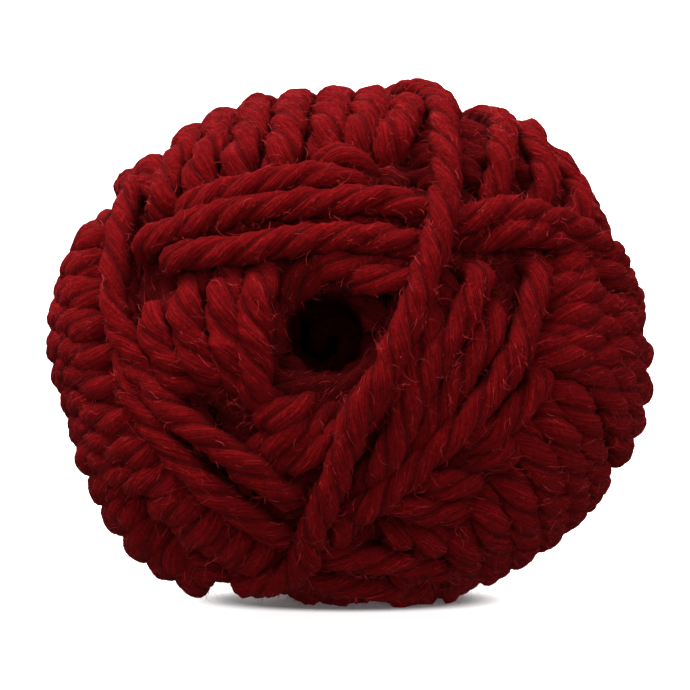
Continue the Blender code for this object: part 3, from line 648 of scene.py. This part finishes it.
def fibres_piece(name, grids, kind, material, rng):
    """Loose fibres on the strands, each a curled ribbon that gets narrower."""
    count, parts, lengths, rises, width, curl = kind
    weights = np.array([len(grid) for grid in grids], float)
    which = rng.choice(len(grids), count, p=weights / weights.sum())
    roots, outs, alongs = [], [], []
    for g, grid in enumerate(grids):
        here = int((which == g).sum())
        i, k = rng.integers(1, len(grid) - 1, here), rng.integers(0, grid.shape[1], here)
        roots.append(grid[i, k])
        outs.append(grid[i, k] - grid[i].mean(1))
        alongs.append(grid[i + 1, k] - grid[i - 1, k])
    roots, outs, alongs = np.concatenate(roots), unit(np.concatenate(outs)), unit(np.concatenate(alongs))
    open_air = (outs * unit(roots)).sum(1) > FACES_OUT
    roots, outs, alongs = roots[open_air], outs[open_air], alongs[open_air]
    count = len(roots)
    step = rng.uniform(*lengths, count)[:, None] / parts
    rise = rng.uniform(*rises, count)[:, None]
    way = rng.choice([-1.0, 1.0], count)[:, None]
    heading = unit(alongs * way * (1 - rise) + outs * rise + rng.normal(0, FIBRE_STRAY, (count, 3)))
    bend = unit(rng.normal(0, 1, (count, 3)) - outs * FIBRE_FALL)
    line = [roots - outs * width]
    for _ in range(parts):
        line.append(line[-1] + heading * step)
        heading = unit(heading + bend * curl / parts)
        bend = unit(bend + rng.normal(0, FIBRE_SWERVE, (count, 3)))
    line = np.stack(line, 1)
    flat = unit(np.cross(line[:, -1] - line[:, 0], rng.normal(0, 1, (count, 3)) + outs))[:, None]
    half = width / 2 * np.linspace(1.0, FIBRE_TIP, parts + 1)[None, :, None]
    corners = np.stack([line - flat * half, line + flat * half], 2).reshape(-1, 3)
    first = np.arange(count)[:, None] * 2 * (parts + 1) + np.arange(parts)[None] * 2
    quads = np.stack([first, first + 1, first + 3, first + 2], -1).reshape(-1, 4)
    long = parts * math.ceil(math.sqrt(count / parts))
    add_piece(name, corners, quads, {"OFBake": strips(len(quads), 1, long)}, material)


def add(tree, kind, sockets, **settings):
    """A node with these settings, and each of these inputs set to a value or fed by another node's output."""
    node = tree.nodes.new(kind)
    for key, value in settings.items():
        setattr(node, key, value)
    for key, value in sockets.items():
        if isinstance(value, bpy.types.NodeSocket):
            tree.links.new(value, node.inputs[key])
        else:
            node.inputs[key].default_value = value
    return node


def ramp(tree, fac, stops):
    """The output of a colour ramp through these places and colours."""
    node = add(tree, "ShaderNodeValToRGB", {"Fac": fac})
    elements = node.color_ramp.elements
    while len(elements) < len(stops):
        elements.new(1.0)
    for element, (position, colour) in zip(elements, stops):
        element.position = position
        element.color = (*colour, 1)
    return node.outputs["Color"]


def math_node(tree, operation, *numbers):
    """The output of a sum on these values or outputs."""
    return add(tree, "ShaderNodeMath", dict(enumerate(numbers)), operation=operation).outputs[0]


def smooth_step(tree, value, start, end, least=0.0, most=1.0):
    """The output of a smooth rise from least to most as the value goes from start to end."""
    limits = {"From Min": start, "From Max": end, "To Min": least, "To Max": most}
    node = add(tree, "ShaderNodeMapRange", {"Value": value, **limits}, interpolation_type="SMOOTHSTEP")
    return node.outputs["Result"]


def times(tree, colour, other):
    """The output of two colours multiplied."""
    node = add(tree, "ShaderNodeMix", {}, data_type="RGBA", blend_type="MULTIPLY")
    node.inputs["Factor"].default_value = 1.0
    tree.links.new(colour, node.inputs["A"])
    tree.links.new(other, node.inputs["B"])
    return node.outputs["Result"]


def matt(name, roughness, gloss):
    """A material with its node tree and its shader."""
    material = bpy.data.materials.new(name)
    material.use_nodes = True
    shader = material.node_tree.nodes["Principled BSDF"]
    shader.inputs["Roughness"].default_value = roughness
    shader.inputs["Specular IOR Level"].default_value = gloss
    return material, material.node_tree, shader


def ply_groove_shade(tree, uv):
    """Painted shade in the grooves between plies, which run at equal steps round the strand."""
    split = add(tree, "ShaderNodeSeparateXYZ", {"Vector": uv})
    part = math_node(tree, "FRACT", math_node(tree, "MULTIPLY", split.outputs["Y"], PLIES))
    away = math_node(tree, "ABSOLUTE", math_node(tree, "SUBTRACT", part, 0.5))
    return ramp(tree, smooth_step(tree, away, 0.0, GROOVE_SHADE_WIDTH), ((0.0, GROOVE_PAINTED_SHADE), (1.0, (1, 1, 1))))


def yarn_material():
    """Dark red wool: spun fibres along each ply, with painted shade: lighter crowns, dark grooves, darker
    deep strands.
    """
    material, tree, shader = matt("dark_red_wool", 1.0, WOOL_GLOSS)
    uv = add(tree, "ShaderNodeUVMap", {}, uv_map="Yarn").outputs["UV"]
    spread = add(tree, "ShaderNodeMapping", {"Vector": uv, "Scale": STREAK_STRETCH}).outputs["Vector"]
    streaks = add(tree, "ShaderNodeTexNoise", {"Vector": spread, **STREAKS}).outputs["Fac"]
    place = add(tree, "ShaderNodeTexCoord", {}).outputs["Object"]
    curls = add(tree, "ShaderNodeTexNoise", {"Vector": place, **CURLS}).outputs["Fac"]
    blend = math_node(tree, "MULTIPLY_ADD", curls, CURL_SHARE,
                      math_node(tree, "MULTIPLY", streaks, 1 - CURL_SHARE))
    # painted shade in the grooves between plies
    shaded = times(tree, ramp(tree, blend, WOOL_TONES), ply_groove_shade(tree, uv))
    # painted shade: lighter toward each strand's crown, darker where it lies deep below the form
    lying = add(tree, "ShaderNodeUVMap", {}, uv_map="Open").outputs["UV"]
    openness = add(tree, "ShaderNodeSeparateXYZ", {"Vector": lying})
    for axis, limits in PAINTED_SHADE_LIMITS.items():
        shaded = times(tree, shaded, smooth_step(tree, openness.outputs[axis], *limits))
    relief = math_node(tree, "ADD", streaks, curls)
    bump = add(tree, "ShaderNodeBump", {"Height": relief, "Strength": 1.0, "Distance": RELIEF})
    tree.links.new(shaded, shader.inputs["Base Color"])
    tree.links.new(bump.outputs["Normal"], shader.inputs["Normal"])
    shader.inputs["Sheen Weight"].default_value = SHEEN
    shader.inputs["Sheen Roughness"].default_value = SHEEN_ROUGHNESS
    shader.inputs["Sheen Tint"].default_value = (*SHEEN_TINT, 1)
    return material


def fibre_material():
    """Single wool fibres, lighter than the strands: their own paler red, with painted glow of light through
    them.
    """
    material, tree, shader = matt("loose_wool_fibre", 1.0, FIBRE_GLOSS)
    place = add(tree, "ShaderNodeTexCoord", {}).outputs["Object"]
    vary = add(tree, "ShaderNodeTexNoise", {"Vector": place, **FIBRE_NOISE}).outputs["Fac"]
    tree.links.new(ramp(tree, vary, FIBRE_TONES), shader.inputs["Base Color"])
    return material


def core_material():
    """Dark red wool painted nearly black, as painted shade inside the ball."""
    material, _, shader = matt("shaded_wool", 1.0, 0.0)
    shader.inputs["Base Color"].default_value = (*CORE_PAINTED_SHADE, 1)
    return material


def yarn():
    """Every strand of the ball, the fuzz on it and the inside, painted dark as shade."""
    wool, fuzz = yarn_material(), fibre_material()
    rng = np.random.default_rng(SEED)
    bands = {}
    for name, points in wind() + [("bore", hole_end())]:
        step = COARSE_STEP if name in HIDDEN else FINE_STEP
        wide = PACKED_WIDE if name in PACKED else LOOSE_WIDE
        grid, at, openness = strand_grid(points, step, wide, rng)
        bands.setdefault(name, []).append((grid, at, openness, STREAK_SHIFT * rng.random()))
    for name, grids in bands.items():
        strands_piece("strands_" + name, grids, wool)
    outer = [grid for name, grids in bands.items() if name != "bore" for grid, *_ in grids]
    for name, kind in FUZZ.items():
        fibres_piece(name, outer, kind, fuzz, rng)
    core_piece(core_material())


def white_room():
    """A room that is white to the eye and gives less light than that, the least from below."""
    world = bpy.data.worlds.new("white_room")
    world.use_nodes = True
    tree = world.node_tree
    way = add(tree, "ShaderNodeTexCoord", {}).outputs["Generated"]
    height = add(tree, "ShaderNodeSeparateXYZ", {"Vector": way}).outputs["Z"]
    limits = {"From Min": ROOM_HEIGHTS[0], "From Max": ROOM_HEIGHTS[1],
              "To Min": ROOM_LIGHT[0], "To Max": ROOM_LIGHT[1]}
    room = add(tree, "ShaderNodeMapRange", {"Value": height, **limits}).outputs["Result"]
    looked_at = add(tree, "ShaderNodeLightPath", {}).outputs["Is Camera Ray"]
    strength = add(tree, "ShaderNodeMapRange", {"Value": looked_at, "To Min": room}).outputs["Result"]
    background = tree.nodes["Background"]
    background.inputs["Color"].default_value = (1, 1, 1, 1)
    tree.links.new(strength, background.inputs["Strength"])
    bpy.context.scene.world = world


def white_sheet():
    """The sheet under the ball, lit from within but for a painted shadow where the ball rests; it doesn't
    light the ball.
    """
    material, tree, shader = matt("white_paper", PAPER_ROUGHNESS, 0.0)
    shader.inputs["Base Color"].default_value = (*PAPER, 1)
    shader.inputs["Emission Color"].default_value = (*PAPER_TINT, 1)
    place = add(tree, "ShaderNodeTexCoord", {}).outputs["Object"]
    shift, scale = (0, -SHADOW_BACK / SHADOW_DEEP, 0), (1 / SHADOW_WIDE, 1 / SHADOW_DEEP, 0)
    oval = add(tree, "ShaderNodeMapping", {"Vector": place, "Location": shift, "Scale": scale})
    away = add(tree, "ShaderNodeVectorMath", {0: oval.outputs["Vector"]}, operation="LENGTH")
    # painted shadow: the sheet's emission drops in an oval where the ball rests on it
    shadowed_glow = smooth_step(tree, away.outputs["Value"], *SHADOW_EDGE, *PAPER_GLOW_AND_SHADOW)
    tree.links.new(shadowed_glow, shader.inputs["Emission Strength"])
    far = FLOOR_REACH
    mesh = bpy.data.meshes.new("floor")
    mesh.from_pydata([(-far, -far, 0), (far, -far, 0), (far, far, 0), (-far, far, 0)], [], [(0, 1, 2, 3)])
    mesh.materials.append(material)
    floor = bpy.data.objects.new("floor", mesh)
    floor.location.z = -FLOOR_DROP
    floor.visible_diffuse = False
    bpy.context.scene.collection.objects.link(floor)


def lamps():
    """Soft lamps above, in front and behind."""
    for name, (origin, strength, spread) in LAMPS.items():
        lamp = bpy.data.lights.new(name, "SUN")
        lamp.energy = strength
        lamp.angle = math.radians(spread)
        holder = bpy.data.objects.new(name, lamp)
        holder.rotation_euler = Vector(origin).to_track_quat("Z", "Y").to_euler()
        bpy.context.scene.collection.objects.link(holder)


def camera():
    """The photograph's eye: level with the ball and a little above it."""
    centre = Vector((MIDDLE_X, MIDDLE_Y, MIDDLE_HEIGHT)) * MM
    rise = math.radians(ELEVATION)
    away = Vector((0, -math.cos(rise), math.sin(rise)))
    data = bpy.data.cameras.new("camera")
    data.sensor_width = SENSOR
    data.lens = SENSOR * EYE_DISTANCE / (FRAME_PIXELS * MM_PER_PIXEL)
    data.shift_x = (FRAME_PIXELS / 2 - BALL_CENTRE_PIXEL[0]) / FRAME_PIXELS
    data.shift_y = (BALL_CENTRE_PIXEL[1] - FRAME_PIXELS / 2) / FRAME_PIXELS
    eye = bpy.data.objects.new("camera", data)
    eye.location = centre + away * EYE_DISTANCE * MM
    eye.rotation_euler = (-away).to_track_quat("-Z", "Y").to_euler()
    bpy.context.scene.collection.objects.link(eye)
    bpy.context.scene.camera = eye


bpy.context.scene.view_settings.view_transform = "Standard"
camera()
white_room()
white_sheet()
lamps()
yarn()
